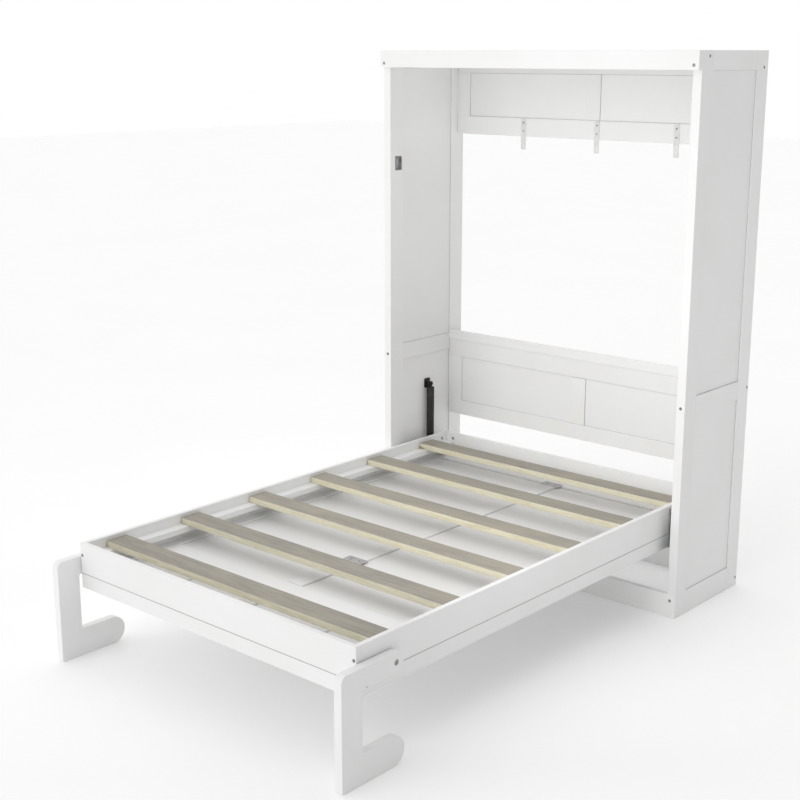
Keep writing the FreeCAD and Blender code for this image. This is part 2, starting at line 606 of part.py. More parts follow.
# ---- pivots: a lug under each side rail turns on a pin in the cabinet's side ----
def pivots():
    plate = block("PivotPlateBlank", ("deckHalf", "pivotPlateThickness"),
                  ("pivotY - pivotPlateWidth / 2", "pivotPlateWidth"),
                  ("skirtBottom + pivotPlateInset",
                   "railTop - pivotPlateDrop - skirtBottom - pivotPlateInset"))
    lug = disc("PivotLug", "X", ("deckHalf", "pivotY", "pivotZ"), "pivotLug", "pivotPlateThickness")
    web = block("PivotWeb", ("deckHalf", "pivotPlateThickness"), ("pivotY - pivotLug", "2 * pivotLug"),
                ("pivotZ", "pivotWebRise"))
    bore = disc("PivotBore", "X", ("deckHalf - overcut", "pivotY", "pivotZ"),
                "pivotPinRadius + pivotPinClearance", "pivotPlateThickness + 2 * overcut")
    body = cut("PivotPlateCut", fuse("PivotPlateBody", [plate, lug, web]), bore)
    screws = plateScrews("PivotScrew", "X", "deckHalf + pivotPlateThickness",
                         ("pivotY", "pivotPlateWidth / 2 - pivotScrewInset"),
                         ("railBottom + railHeight / 3", "pivotScrewSpread"))
    keep(pair("BedPivotPlates", fuse("BedPivotPlate", [body] + screws)), "bed_pivot_plates")
    base = block("SidePlate", ("sideInner - sidePlateThickness", "sidePlateThickness"),
                 ("front + sidePlateSetback", "sidePlateWidth"),
                 ("pivotZ - sidePlateHeight / 2", "sidePlateHeight"))
    shaft = disc("PivotPin", "-X", ("sideInner", "pivotY", "pivotZ"), "pivotPinRadius",
                 "railGap + pinHeadGap + pinHeadThickness")
    collar = disc("PivotCollar", "-X", ("sideInner", "pivotY", "pivotZ"), "pivotCollarRadius",
                  "railGap - pivotPlateThickness - pinHeadGap")
    head = disc("PivotPinHead", "-X", ("deckHalf - pinHeadGap", "pivotY", "pivotZ"), "pinHeadRadius",
                "pinHeadThickness")
    sideScrews = plateScrews("SidePlateScrew", "-X", "sideInner - sidePlateThickness",
                             ("front + sidePlateSetback + sidePlateScrewInset", "0"),
                              ("pivotZ", "sidePlateHeight / 2 - sidePlateScrewInset"))
    keep(pair("SidePivots", fuse("SidePivot", [base, shaft, collar, head] + sideScrews)),
         "cabinet_pivot_plates")


def plateScrews(name, along, face, y, z):
    """Low screw heads on a plate: two or four round a middle, spread along Y and Z."""
    heads = []
    for index, (stepY, stepZ) in enumerate(((-1, -1), (1, -1), (-1, 1), (1, 1))):
        if y[1] == "0" and stepY > 0:
            continue
        at = (face, "%s + %d * (%s)" % (y[0], stepY, y[1]), "%s + %d * (%s)" % (z[0], stepZ, z[1]))
        heads.append(disc(name + str(index), along, at, "plateScrewRadius", "plateScrewHeight"))
    return heads


pivots()


# ---- legs: bent boards that hang from one bolt each ----
legHeadX = "legInnerX + legThickness - legBoltSink - legBoltHead"


def leg():
    x = ("legInnerX", "legThickness")
    back = "legPivotY - legReach"
    post = block("LegPost", x, (back, "legPost"), ("0", "legPivotZ + legArm / 2"))
    arm = block("LegArm", x, (back, "legReach"), ("legPivotZ - legArm / 2", "legArm"))
    armEnd = disc("LegArmEnd", "X", ("legInnerX", "legPivotY", "legPivotZ"), "legArm / 2",
                  "legThickness")
    foot = block("LegFootBlock", x, (back, "legReach + legRear - legFoot / 2"), ("0", "legFoot"))
    footEnd = disc("LegFootEnd", "X", ("legInnerX", "legPivotY + legRear - legFoot / 2", "legFoot / 2"),
                   "legFoot / 2", "legThickness")
    blank = fuse("LegBlank", [post, arm, armEnd, foot, footEnd])
    doc.recompute()
    across = [(index, edge) for index, edge in enumerate(blank.Shape.Edges, start=1)
              if isStraightAlongX(edge)]
    backY = min(edge.CenterOfMass.y for index, edge in across)
    topZ = max(edge.CenterOfMass.z for index, edge in across)
    corners = []
    for index, edge in across:
        middle = edge.CenterOfMass
        outer = abs(middle.y - backY) < closeEnough
        inner = abs(middle.y - backY - sizes["legPost"]) < closeEnough
        if outer and middle.z > topZ - closeEnough:
            corners.append((index, sizes["legCornerRound"], sizes["legCornerRound"]))
        elif outer or inner:
            corners.append((index, sizes["legInnerRound"], sizes["legInnerRound"]))
    rounded = doc.addObject("Part::Fillet", "LegRounded")
    rounded.Base = blank
    rounded.Edges = corners
    doc.recompute()
    rims = [(index, sizes["legEdgeRound"], sizes["legEdgeRound"])
            for index, edge in enumerate(rounded.Shape.Edges, start=1) if not isStraightAlongX(edge)]
    eased = doc.addObject("Part::Fillet", "LegEased")
    eased.Base = rounded
    eased.Edges = rims
    bore = disc("LegBore", "X", ("legInnerX - overcut", "legPivotY", "legPivotZ"),
                "legPivotRadius + legPivotClearance", "legThickness + 2 * overcut")
    recess = disc("LegBoltRecess", "X", (legHeadX + " - legBoltGap", "legPivotY", "legPivotZ"),
                  "legBoltHeadRadius + legBoltSink", "legBoltGap + legBoltHead + legBoltSink + overcut")
    right = cut("RightLeg", eased, group("LegHoles", [bore, recess]))
    keep(right, "right_leg")
    keep(mirrored("LeftLeg", right), "left_leg")
    legBolt()


def isStraightAlongX(edge):
    ends = [vertex.Point for vertex in edge.Vertexes]
    return len(ends) == 2 and max(abs(ends[0].y - ends[1].y), abs(ends[0].z - ends[1].z)) < closeEnough


def legBolt():
    """The shouldered bolt that each leg swings on: its shank is fixed in the rail."""
    shank = disc("LegBoltShank", "X", ("deckInner + overcut", "legPivotY", "legPivotZ"),
                 "legPivotRadius", "railThickness + legGap + legThickness - legBoltSink - legBoltHead")
    washer = disc("LegWasher", "X", ("deckHalf", "legPivotY", "legPivotZ"), "legWasherRadius",
                  "legGap - legBoltGap")
    cap = disc("LegBoltCap", "X", (legHeadX, "legPivotY", "legPivotZ"), "legBoltHeadRadius",
               "legBoltHead")
    socket = disc("LegBoltSocket", "X", (legHeadX + " + legBoltHead - legSocketDepth", "legPivotY",
                                         "legPivotZ"), "legSocketRadius", "legSocketDepth + overcut")
    bolt = cut("LegBolt", fuse("LegBoltBlank", [shank, washer, cap]), socket)
    half = group("DeckFastenerHalf", [deckBoltHalf, bolt])
    keep(pair("DeckFasteners", half), "bed_fasteners")


leg()


# ---- gas struts: a cylinder hung from the side, and a rod that pushes the deck behind its pivot ----
def struts():
    eyeX = "strutX - eyeThickness / 2"
    shoulder = "strutHeadZ - eyeRadius - neckLength"
    at = ("strutX", "strutY", shoulder)
    outer = disc("CylinderTube", "-Z", at, "cylinderRadius", "cylinderLength")
    inner = disc("CylinderHollow", "-Z", ("strutX", "strutY", shoulder + " - cylinderCap"),
                 "cylinderRadius - cylinderWall", "cylinderLength - cylinderCap - cylinderGland")
    gland = disc("CylinderGland", "-Z", at, "rodRadius + rodClearance", "cylinderLength + overcut")
    cap = disc("CylinderCap", "-Z", at, "cylinderRadius", "cylinderCap")
    neck = disc("CylinderNeck", "-Z", ("strutX", "strutY", "strutHeadZ"), "neckRadius",
                "eyeRadius + neckLength + overcut")
    eye = disc("CylinderEye", "X", (eyeX, "strutY", "strutHeadZ"), "eyeRadius", "eyeThickness")
    bore = disc("CylinderEyeBore", "X", (eyeX + " - overcut", "strutY", "strutHeadZ"),
                "studRadius + studClearance", "eyeThickness + 2 * overcut")
    tube = cut("CylinderTubeCut", outer, group("CylinderCuts", [inner, gland]))
    cylinder = cut("RightCylinder", fuse("CylinderBody", [tube, cap, neck, eye]), bore)
    keep(cylinder, "right_strut_cylinder")
    keep(mirrored("LeftCylinder", cylinder), "left_strut_cylinder")

    rod = disc("RodShaft", "Z", ("strutX", "strutY", "strutFootZ"), "rodRadius", "rodLength")
    piston = disc("RodPiston", "-Z", ("strutX", "strutY", "strutFootZ + rodLength"),
                  "cylinderRadius - cylinderWall - pistonClearance", "pistonLength")
    rodEye = disc("RodEye", "X", (eyeX, "strutY", "strutFootZ"), "eyeRadius", "eyeThickness")
    rodBore = disc("RodEyeBore", "X", (eyeX + " - overcut", "strutY", "strutFootZ"),
                   "studRadius + studClearance", "eyeThickness + 2 * overcut")
    right = cut("RightRod", fuse("RodBody", [rod, piston, rodEye]), rodBore)
    keep(right, "right_strut_rod")
    keep(mirrored("LeftRod", right), "left_strut_rod")
    strutBrackets(eyeX)


def strutBrackets(eyeX):
    """The plates that carry the struts' studs: one on the cabinet's side, one on the deck."""
    panelFace = "sideInner + sidePanelInset"
    upper = block("StrutPlate", (panelFace + " - strutPlateThickness", "strutPlateThickness"),
                  ("strutY - strutPlateWidth / 2", "strutPlateWidth"),
                  ("strutHeadZ - strutPlateHeight / 2", "strutPlateHeight"))
    at = (panelFace, "strutY", "strutHeadZ")
    stud = disc("StrutStud", "-X", at, "studRadius",
                "sidePanelInset + sideInner - strutX + eyeThickness / 2 + studSpare")
    collar = disc("StrutCollar", "-X", at, "studCollarRadius",
                  "sidePanelInset + sideInner - strutX - eyeThickness / 2 - studCollarGap")
    clip = disc("StrutClip", "-X", (eyeX + " - studCollarGap", "strutY", "strutHeadZ"), "clipRadius",
                "clipThickness")
    screws = plateScrews("StrutScrew", "-X", panelFace + " - strutPlateThickness",
                         ("strutY", "strutPlateWidth / 2 - strutScrewInset"),
                         ("strutHeadZ", "strutPlateHeight / 2 - strutScrewInset"))
    keep(pair("StrutBrackets", fuse("StrutBracket", [upper, stud, collar, clip] + screws)),
         "strut_cabinet_brackets")
    lower = block("DeckPlate", ("deckHalf", "strutPlateThickness"),
                  ("strutY - strutPlateWidth / 2", "strutPlateWidth"),
                  ("skirtBottom + strutPlateRise", "strutPlateHeight"))
    deckStud = disc("DeckStud", "X", ("deckHalf", "strutY", "strutFootZ"), "studRadius",
                    "strutX - deckHalf - eyeThickness / 2 - studShort")
    keep(pair("DeckBrackets", fuse("DeckBracket", [lower, deckStud])), "strut_deck_brackets")


struts()


# ---- check and write ----
doc.recompute()
for thing in doc.Objects:
    if "Invalid" in thing.State or "Error" in thing.State:
        raise RuntimeError("%s is %s" % (thing.Name, thing.State))
for thing in subParts:
    if thing.Shape.isNull() or not thing.Shape.isValid():
        raise RuntimeError("%s has no valid shape" % thing.Label)
    thing.Shape.exportStep("parts/%s.step" % thing.Label)
print("wrote", len(subParts), "sub-parts")
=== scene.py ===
import math

import bmesh
import bpy
from mathutils import Matrix, Quaternion, Vector


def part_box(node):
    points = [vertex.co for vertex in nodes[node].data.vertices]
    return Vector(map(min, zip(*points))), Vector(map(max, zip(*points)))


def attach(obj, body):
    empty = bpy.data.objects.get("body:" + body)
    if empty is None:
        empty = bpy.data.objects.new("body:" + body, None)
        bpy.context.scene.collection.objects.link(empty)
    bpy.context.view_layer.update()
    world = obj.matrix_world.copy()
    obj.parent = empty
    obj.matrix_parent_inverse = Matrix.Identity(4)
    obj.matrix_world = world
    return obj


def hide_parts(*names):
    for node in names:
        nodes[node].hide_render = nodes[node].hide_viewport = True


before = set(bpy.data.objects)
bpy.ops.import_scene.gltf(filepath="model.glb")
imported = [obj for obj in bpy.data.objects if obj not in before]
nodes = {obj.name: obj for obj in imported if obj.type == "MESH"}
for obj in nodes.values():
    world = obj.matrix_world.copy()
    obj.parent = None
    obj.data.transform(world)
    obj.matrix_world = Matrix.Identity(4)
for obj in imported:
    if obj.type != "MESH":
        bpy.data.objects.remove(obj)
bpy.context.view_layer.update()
mm = 0.001
print("frame loaded,", len(nodes), "nodes")


# wiring of node trees, for finishes and for grown pieces
class Value:
    # one socket of a tree, so that maths on it can be written as an expression
    def __init__(self, wiring, socket):
        self.wiring = wiring
        self.socket = socket

    def calc(self, operation, first, second=None):
        return self.wiring.add("ShaderNodeMath", {"operation": operation}, {0: first, 1: second})

    def __add__(self, other):
        return self.calc("ADD", self, other)

    def __radd__(self, other):
        return self.calc("ADD", other, self)

    def __sub__(self, other):
        return self.calc("SUBTRACT", self, other)

    def __rsub__(self, other):
        return self.calc("SUBTRACT", other, self)

    def __mul__(self, other):
        return self.calc("MULTIPLY", self, other)

    def __truediv__(self, other):
        return self.calc("DIVIDE", self, other)

    def __abs__(self):
        return self.calc("ABSOLUTE", self)

    def least(self, other):
        return self.calc("MINIMUM", self, other)

    def most(self, other):
        return self.calc("MAXIMUM", self, other)


class Wiring:
    def __init__(self, tree):
        self.tree = tree

    def add(self, kind, settings=None, sockets=None, out=0):
        made = self.tree.nodes.new(kind)
        for word, setting in (settings or {}).items():
            setattr(made, word, setting)
        for key, value in (sockets or {}).items():
            if isinstance(value, Value):
                self.tree.links.new(value.socket, made.inputs[key])
            elif value is not None:
                made.inputs[key].default_value = value
        self.last = made
        return Value(self, made.outputs[out]) if made.outputs else None

    def other(self, out):  # another output of the node just added
        return Value(self, self.last.outputs[out])

    def axes(self, vector):
        self.add("ShaderNodeSeparateXYZ", None, {0: vector})
        return [self.other(axis) for axis in ("X", "Y", "Z")]


class Finish(Wiring):
    # a material under construction
    def __init__(self, name):
        self.material = bpy.data.materials.new(name)
        self.material.use_nodes = True
        super().__init__(self.material.node_tree)
        self.tree.nodes.clear()
        self.place = self.add("ShaderNodeTexCoord", out="Object")
        self.facing = self.other("Normal")

    def scaled(self, scale, shift=(0, 0, 0)):
        return self.add("ShaderNodeMapping", None, {"Vector": self.place, "Location": shift, "Scale": scale})

    def noise(self, where, scale, detail=3, rough=0.5, warp=0.0):
        return self.add("ShaderNodeTexNoise", None, {"Vector": where, "Scale": scale, "Detail": detail,
                                                     "Roughness": rough, "Distortion": warp})

    def span(self, value, low, high, to=(0, 1)):
        return self.add("ShaderNodeMapRange", {"interpolation_type": "SMOOTHSTEP"},
                        {"Value": value, "From Min": low, "From Max": high, "To Min": to[0], "To Max": to[1]})

    def mix(self, share, first, second, blend="MIX"):
        return self.add("ShaderNodeMix", {"data_type": "RGBA", "blend_type": blend},
                        {0: share, 6: first, 7: second}, 2)

    def bump(self, height, depth, before=None, strength=1.0):
        return self.add("ShaderNodeBump", None, {"Height": height, "Distance": depth, "Strength": strength,
                                                 "Normal": before})

    def close(self, sockets):
        shader = self.add("ShaderNodeBsdfPrincipled", None, sockets)
        self.add("ShaderNodeOutputMaterial", None, {"Surface": shader})
        return self.material


def rgba(colour, gain=1.0):
    return (colour[0] * gain, colour[1] * gain, colour[2] * gain, 1)


# shapes that several pieces share
def newPiece(name, mesh):
    piece = bpy.data.objects.new(name, mesh)
    bpy.context.scene.collection.objects.link(piece)
    return piece


def smoothed(mesh, angle=35):
    mesh.shade_smooth()
    mesh.set_sharp_from_angle(angle=math.radians(angle))
    return mesh


def meshOf(work, name):
    bmesh.ops.remove_doubles(work, verts=work.verts, dist=1e-6)
    bmesh.ops.recalc_face_normals(work, faces=work.faces)
    mesh = bpy.data.meshes.new(name)
    work.to_mesh(mesh)
    work.free()
    return mesh


def joined(name, meshes):
    work = bmesh.new()
    for mesh in meshes:
        work.from_mesh(mesh)
    whole = bpy.data.meshes.new(name)
    work.to_mesh(whole)
    work.free()
    return whole


def turned(name, profile, columns=40, sides=None):
    # a closed solid of revolution about Z; rings that are listed in sides follow a polygon
    work = bmesh.new()
    rings = []
    for index, (radius, level) in enumerate(profile):
        corners = (sides or {}).get(index)
        ring = []
        for column in range(columns):
            angle = math.tau * column / columns
            reach = radius
            if corners:
                step = math.tau / corners
                reach = radius / math.cos((angle % step) - step / 2)
            ring.append(work.verts.new((reach * math.cos(angle), reach * math.sin(angle), level)))
        rings.append(ring)
    for lower, upper in zip(rings, rings[1:]):
        for column in range(columns):
            beside = (column + 1) % columns
            work.faces.new((lower[column], lower[beside], upper[beside], upper[column]))
    work.faces.new(rings[0])
    work.faces.new(rings[-1])
    return meshOf(work, name)


def turnedRing(name, profile, columns=40):
    # a solid of revolution about Z whose profile closes on itself, so that it keeps its hole
    work = bmesh.new()
    rings = [[work.verts.new((radius * math.cos(math.tau * c / columns),
                              radius * math.sin(math.tau * c / columns), level))
              for c in range(columns)] for radius, level in profile]
    for index, ring in enumerate(rings):
        following = rings[(index + 1) % len(rings)]
        for column in range(columns):
            beside = (column + 1) % columns
            work.faces.new((ring[column], ring[beside], following[beside], following[column]))
    return meshOf(work, name)


def roundedOutline(width, height, radius, middle=(0, 0), steps=6):
    points = []
    for cornerX, cornerY, start in ((1, 1, 0), (-1, 1, 90), (-1, -1, 180), (1, -1, 270)):
        for step in range(steps + 1):
            angle = math.radians(start + 90 * step / steps)
            points.append((middle[0] + cornerX * (width / 2 - radius) + radius * math.cos(angle),
                           middle[1] + cornerY * (height / 2 - radius) + radius * math.sin(angle)))
    return points


def circleOutline(radius, middle, steps=20):
    return [(middle[0] + radius * math.cos(math.tau * step / steps),
             middle[1] + radius * math.sin(math.tau * step / steps)) for step in range(steps)]


def plate(name, outlines, thickness, ease):
    # sheet metal cut to its outlines, the first outside and the rest holes, standing on z = 0
    curve = bpy.data.curves.new(name, "CURVE")
    curve.dimensions = "2D"
    curve.fill_mode = "BOTH"
    curve.extrude = thickness / 2 - ease
    curve.bevel_depth = ease
    curve.bevel_resolution = 2
    curve.offset = -ease
    for outline in outlines:
        spline = curve.splines.new("POLY")
        spline.points.add(len(outline) - 1)
        for point, (x, y) in zip(spline.points, outline):
            point.co = (x, y, 0, 1)
        spline.use_cyclic_u = True
    holder = newPiece(name + "Curve", curve)
    bpy.context.view_layer.update()
    mesh = bpy.data.meshes.new_from_object(holder)
    bpy.data.objects.remove(holder)
    work = bmesh.new()
    work.from_mesh(mesh)
    mesh = meshOf(work, name)
    mesh.transform(Matrix.Translation((0, 0, thickness / 2)))
    return mesh


def solidsOf(node):
    # the vertices of each separate solid in a CAD node
    mesh = nodes[node].data
    owner = {}
    keys = [tuple(round(c, 5) for c in vertex.co) for vertex in mesh.vertices]

    def root(key):
        while owner.setdefault(key, key) != key:
            owner[key] = owner[owner[key]]
            key = owner[key]
        return key

    for face in mesh.polygons:
        first = root(keys[face.vertices[0]])
        for index in face.vertices[1:]:
            owner[root(keys[index])] = first
    groups = {}
    for key in set(keys):
        groups.setdefault(root(key), []).append(Vector(key))
    return [groups[key] for key in sorted(groups)]


def boxOf(points):
    low = Vector([min(point[axis] for point in points) for axis in range(3)])
    high = Vector([max(point[axis] for point in points) for axis in range(3)])
    return low, high


# growing repeated pieces with geometry nodes
class Growth(Wiring):
    def __init__(self, name, inputs):
        super().__init__(bpy.data.node_groups.new(name, "GeometryNodeTree"))
        self.tree.is_modifier = True
        face = self.tree.interface
        face.new_socket("Geometry", in_out="INPUT", socket_type="NodeSocketGeometry")
        for label, kind in inputs:
            face.new_socket(label, in_out="INPUT", socket_type="NodeSocket" + kind)
        face.new_socket("Geometry", in_out="OUTPUT", socket_type="NodeSocketGeometry")
        self.entry = self.tree.nodes.new("NodeGroupInput")

    def given(self, label):
        return Value(self, self.entry.outputs[label])

    def named(self, label, kind):
        return self.add("GeometryNodeInputNamedAttribute", {"data_type": kind}, {"Name": label})

    def close(self, geometry, material):
        real = self.add("GeometryNodeRealizeInstances", None, {0: geometry})
        done = self.add("GeometryNodeSetMaterial", None, {"Geometry": real, "Material": material})
        leave = self.tree.nodes.new("NodeGroupOutput")
        self.tree.links.new(done.socket, leave.inputs[0])

    def grow(self, name, values, seeds=None):
        holder = newPiece(name + "Seeds", seeds or bpy.data.meshes.new(name + "Seeds"))
        modifier = holder.modifiers.new("Growth", "NODES")
        modifier.node_group = self.tree
        for item in self.tree.interface.items_tree:
            if item.in_out == "INPUT" and item.name in values:
                modifier[item.identifier] = values[item.name]
        shown = holder.evaluated_get(bpy.context.evaluated_depsgraph_get())
        mesh = bpy.data.meshes.new_from_object(shown)
        holder.modifiers.remove(modifier)
        bpy.data.objects.remove(holder)
        return newPiece(name, mesh)


scatter = Growth("ScatterFasteners", [("Fastener", "Object"), ("Finish", "Material")])
body = scatter.add("GeometryNodeObjectInfo", None, {"Object": scatter.given("Fastener")}, "Geometry")
turn = scatter.add("FunctionNodeEulerToRotation", None, {0: scatter.named("turn", "FLOAT_VECTOR")})
spread = scatter.add("GeometryNodeInstanceOnPoints", None,
                     {"Points": scatter.given("Geometry"), "Instance": body, "Rotation": turn})
scatter.close(spread, scatter.given("Finish"))


def seedMesh(name, spots):
    # one vertex for each fastener, with the turn that faces it outwards
    mesh = bpy.data.meshes.new(name)
    mesh.from_pydata([place for place, facing, spin in spots], [], [])
    turns = mesh.attributes.new("turn", "FLOAT_VECTOR", "POINT")
    for index, (place, facing, spin) in enumerate(spots):
        quat = Vector(facing).to_track_quat("Z", "Y") @ Quaternion((0, 0, 1), math.radians(spin))
        turns.data[index].vector = quat.to_euler()
    return mesh


def scattered(name, template, spots, finish, rides):
    pattern = newPiece(name + "Pattern", template)
    piece = scatter.grow(name, {"Fastener": pattern, "Finish": finish}, seedMesh(name, spots))
    bpy.data.objects.remove(pattern)
    smoothed(piece.data)
    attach(piece, rides)
    return piece


# white paint, with painted shade along the joint lines between boards
paintLook = {
    "colour": (0.905, 0.905, 0.903), "shade": (0.885, 0.883, 0.875), "seamShade": (0.20, 0.197, 0.19),
    "rubbed": (0.80, 0.788, 0.755), "roughness": 0.43, "coat": 0.06,
    "cloudScale": 2.6, "strainScale": 38, "streakScale": 95, "fleckScale": 210, "peelScale": 620,
    "streakShare": 0.16, "fleckShare": 0.12, "rimShare": 0.35, "seamShadeShare": 0.66,
    "peelDepth": 0.00006, "grainDepth": 0.00005, "rimDepth": 0.00012, "seamDepth": 0.0003,
    "rim": 0.0035, "seamWidth": 0.0021, "toneSpread": 0.012,
}
grainStretch = {"x": (0.05, 1, 1), "y": (1, 0.05, 1), "z": (1, 1, 0.05)}


def edgeDistance(finish, boxes):
    # how far a point on a board's face is from the board's nearest edge
    reach = []
    for axis, coordinate in enumerate(finish.axes(finish.place)):
        spans = sorted({(round(low[axis], 4), round(high[axis], 4)) for low, high in boxes})
        sizes = {round(high - low, 3) for low, high in spans}
        if len(spans) == 2 and len(sizes) == 1:
            middle = (spans[0][0] + spans[1][1]) / 2
            half = (spans[0][1] - spans[0][0]) / 2
            reach.append(half - abs(abs(coordinate - middle) - (spans[1][1] - half - middle)))
        else:
            low, high = spans[0][0], max(span[1] for span in spans)
            reach.append((high - low) / 2 - abs(coordinate - (low + high) / 2))
    first, second, third = reach
    return first.least(second).most(first.most(second).least(third))


def seamDistance(finish, planes):
    # how far a point is from the nearest joint line, each given as an axis and a place on it
    spots = finish.axes(finish.place)
    nearest = None
    for axis, place in planes:
        gap = abs(spots[axis] - place)
        nearest = gap if nearest is None else nearest.least(gap)
    return nearest


def whitePaint(name, grain, seed, boxes=None, tone=1.0, planes=()):
    look = paintLook
    finish = Finish(name)
    shift = (seed * 1.37, seed * 0.71, seed * 2.13)
    along = finish.scaled(grainStretch[grain], shift)
    evenly = finish.scaled((1, 1, 1), shift)
    streaks = finish.noise(along, look["streakScale"], 4, 0.62, 0.4)
    cloud = finish.noise(evenly, look["cloudScale"], 3, 0.55)
    peel = finish.noise(finish.place, look["peelScale"], 2, 0.45)
    strain = finish.noise(evenly, look["strainScale"], 3, 0.6)
    colour = finish.mix(finish.span(cloud, 0.36, 0.7), rgba(look["colour"], tone), rgba(look["shade"], tone))
    streakShare = finish.span(streaks, 0.55, 0.8) * look["streakShare"]
    colour = finish.mix(streakShare, colour, rgba(look["shade"], 0.93))
    fleck = finish.span(finish.noise(evenly, look["fleckScale"], 2, 0.5), 0.74, 0.8)
    colour = finish.mix(fleck * look["fleckShare"], colour, rgba(look["rubbed"], 0.9))
    rough = look["roughness"] + (cloud - 0.5) * 0.12 + (strain - 0.5) * 0.1 + fleck * 0.1
    normal = finish.bump(streaks, look["grainDepth"], strength=0.6)
    if boxes:
        edge = edgeDistance(finish, boxes)
        rim = finish.span(edge, 0, look["rim"], (1, 0)) * finish.span(strain, 0.44, 0.62)
        colour = finish.mix(rim * look["rimShare"], colour, rgba(look["rubbed"]))
        rough = rough - rim * 0.12
        normal = finish.bump(finish.span(edge, 0, look["rim"] * 1.6), look["rimDepth"], normal, 0.5)
    # the joint lines are drawn dark: painted shade in the gaps between boards, over a small groove bump
    if planes:
        gap = seamDistance(finish, planes)
        seamShade = finish.span(gap, look["seamWidth"] * 0.35, look["seamWidth"], (1, 0))
        colour = finish.mix(seamShade * (look["seamShadeShare"] + (cloud - 0.5) * 0.5), colour, rgba(look["seamShade"]))
        rough = rough + seamShade * 0.2
        normal = finish.bump(seamShade, -look["seamDepth"], normal, 0.6)
    normal = finish.bump(peel, look["peelDepth"], normal, 0.5)
    return finish.close({"Base Color": colour, "Roughness": rough, "Normal": normal, "IOR": 1.46,
                         "Specular IOR Level": 0.42, "Coat Weight": look["coat"], "Coat Roughness": 0.3})


# which way each board's grain runs, and how it meets its neighbours
boardGrain = {
    "x": ["header_board", "top_panel", "front_bottom_rail", "rear_bottom_rail", "rear_mid_rail",
          "upper_back_bottom_rail", "upper_back_top_rail", "upper_back_panels", "headboard_bottom_rail",
          "headboard_top_rail", "headboard_cap", "headboard_panels", "foot_rail", "head_rail", "end_skirts",
          "face_end_rails", "face_cross_rail"],
    "y": ["left_side_rail", "right_side_rail", "side_skirts", "slat_ledgers", "face_side_stiles",
          "face_centre_stiles", "face_mullions", "face_long_panels", "face_short_panels", "side_top_rails",
          "side_mid_rails", "side_bottom_rails"],
    "z": ["left_front_stile", "right_front_stile", "rear_stiles", "side_upper_panels", "side_lower_panels",
          "upper_back_side_stiles", "upper_back_centre_stile", "headboard_side_stiles",
          "headboard_centre_stile", "corner_blocks", "left_leg", "right_leg"],
}
roundCut = ["left_leg", "right_leg"]  # not a box, so its edges can't be told from its box
buttJointed = ["rear_bottom_rail", "rear_mid_rail", "upper_back_bottom_rail", "upper_back_top_rail",
               "headboard_bottom_rail", "headboard_top_rail", "face_end_rails", "face_cross_rail",
               "face_mullions", "face_centre_stiles", "headboard_centre_stile",
               "upper_back_centre_stile"]
lapJointed = ["left_side_rail", "right_side_rail", "side_skirts", "foot_rail", "head_rail", "end_skirts"]
panelTone = {"face_long_panels": 0.985, "face_short_panels": 0.985}
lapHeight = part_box("foot_rail")[0].z
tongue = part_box("upper_back_bottom_rail")[1].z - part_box("upper_back_panels")[0].z


def jointPlanes(node, grain, boxes):
    # butt joints lie at a board's ends, panel joints where the frame's lip covers the panel's tongue
    axis = "xyz".index(grain)
    planes = set()
    for low, high in boxes:
        if node in buttJointed:
            planes |= {(axis, round(low[axis], 4)), (axis, round(high[axis], 4))}
        if node.endswith("panels"):
            thin = min(range(3), key=lambda k: high[k] - low[k])
            for k in range(3):
                if k != thin:
                    planes |= {(k, round(low[k] + tongue, 4)), (k, round(high[k] - tongue, 4))}
    if node in lapJointed:
        planes.add((2, lapHeight))
    return sorted(planes)


def dress(node, material):
    mesh = nodes[node].data
    mesh.materials.clear()
    mesh.materials.append(material)


seed = 0
for grain, members in boardGrain.items():
    for node in members:
        seed += 1
        boxes = [boxOf(points) for points in solidsOf(node)]
        planes = jointPlanes(node, grain, boxes)
        tone = panelTone.get(node, 1) + paintLook["toneSpread"] * math.sin(seed * 2.4)
        edged = None if node in roundCut else boxes
        dress(node, whitePaint("Paint_" + node, grain, seed, edged, tone, planes))
print("boards painted,", seed, "nodes, tongue", round(tongue, 4))


# bare slats
# face colours go on the slats' tops and edge colours on their sides: the tops are painted darker as shade and
# the sides paler as light
slatLook = {
    "face": (0.36, 0.34, 0.30), "faceDark": (0.245, 0.23, 0.205), "faceWarm": (0.43, 0.39, 0.31),
    "edge": (0.72, 0.69, 0.55), "edgeDark": (0.60, 0.55, 0.40), "end": (0.42, 0.35, 0.25),
    "knot": (0.20, 0.145, 0.095), "knotsFrom": 0.78, "ringScale": 3.2, "ringCount": 7,
    "fibreScale": 9, "cloudScale": 1.4, "roughness": 0.72, "grainDepth": 0.00022,
    "round": 0.0022, "sag": 0.0011, "seed": 11,
}


